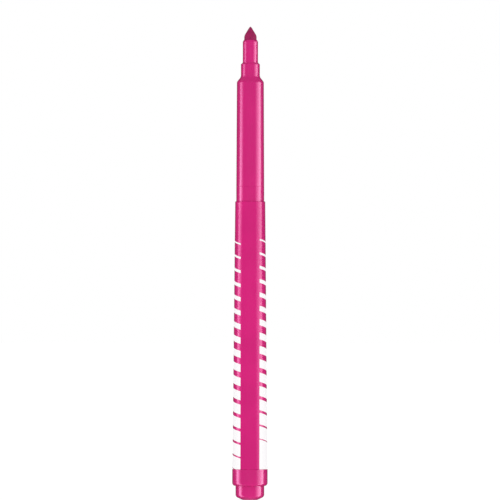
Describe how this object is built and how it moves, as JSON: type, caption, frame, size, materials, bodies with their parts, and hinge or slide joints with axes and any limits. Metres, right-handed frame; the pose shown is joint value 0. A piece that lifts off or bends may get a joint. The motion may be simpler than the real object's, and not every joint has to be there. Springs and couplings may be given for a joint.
{
  "type": "felt-tip pen",
  "caption": "Erasable felt-tip pen without its cap: conical fibre nib, stepped nose, smooth front section, tapered barrel, collared end plug, and an ink reservoir inside.",
  "frame": {"origin": "middle of the end plug's flat base, on which the pen stands", "axes": "+Z along the pen's axis from the end plug to the nib; the view of the picture looks along +Y, with +X to the right"},
  "size_m": [0.0106, 0.0106, 0.142],
  "materials": {
    "nib_fibre": "matt pressed polyester fibre, wet with pink ink",
    "section_plastic": "glossy magenta pink moulding",
    "barrel_plastic": "glossy magenta pink moulding with white printed slanting stripes",
    "plug_plastic": "glossy magenta pink moulding",
    "ink_fibre": "bundled polyester fibre soaked with pink ink",
    "clear_film": "clear plastic film"
  },
  "bodies": {
    "root": {"nib": "nib_fibre", "front_section": "section_plastic", "barrel": "barrel_plastic", "end_plug": "plug_plastic", "reservoir_core": "ink_fibre", "reservoir_wrap": "clear_film"}
  },
  "joints": []
}
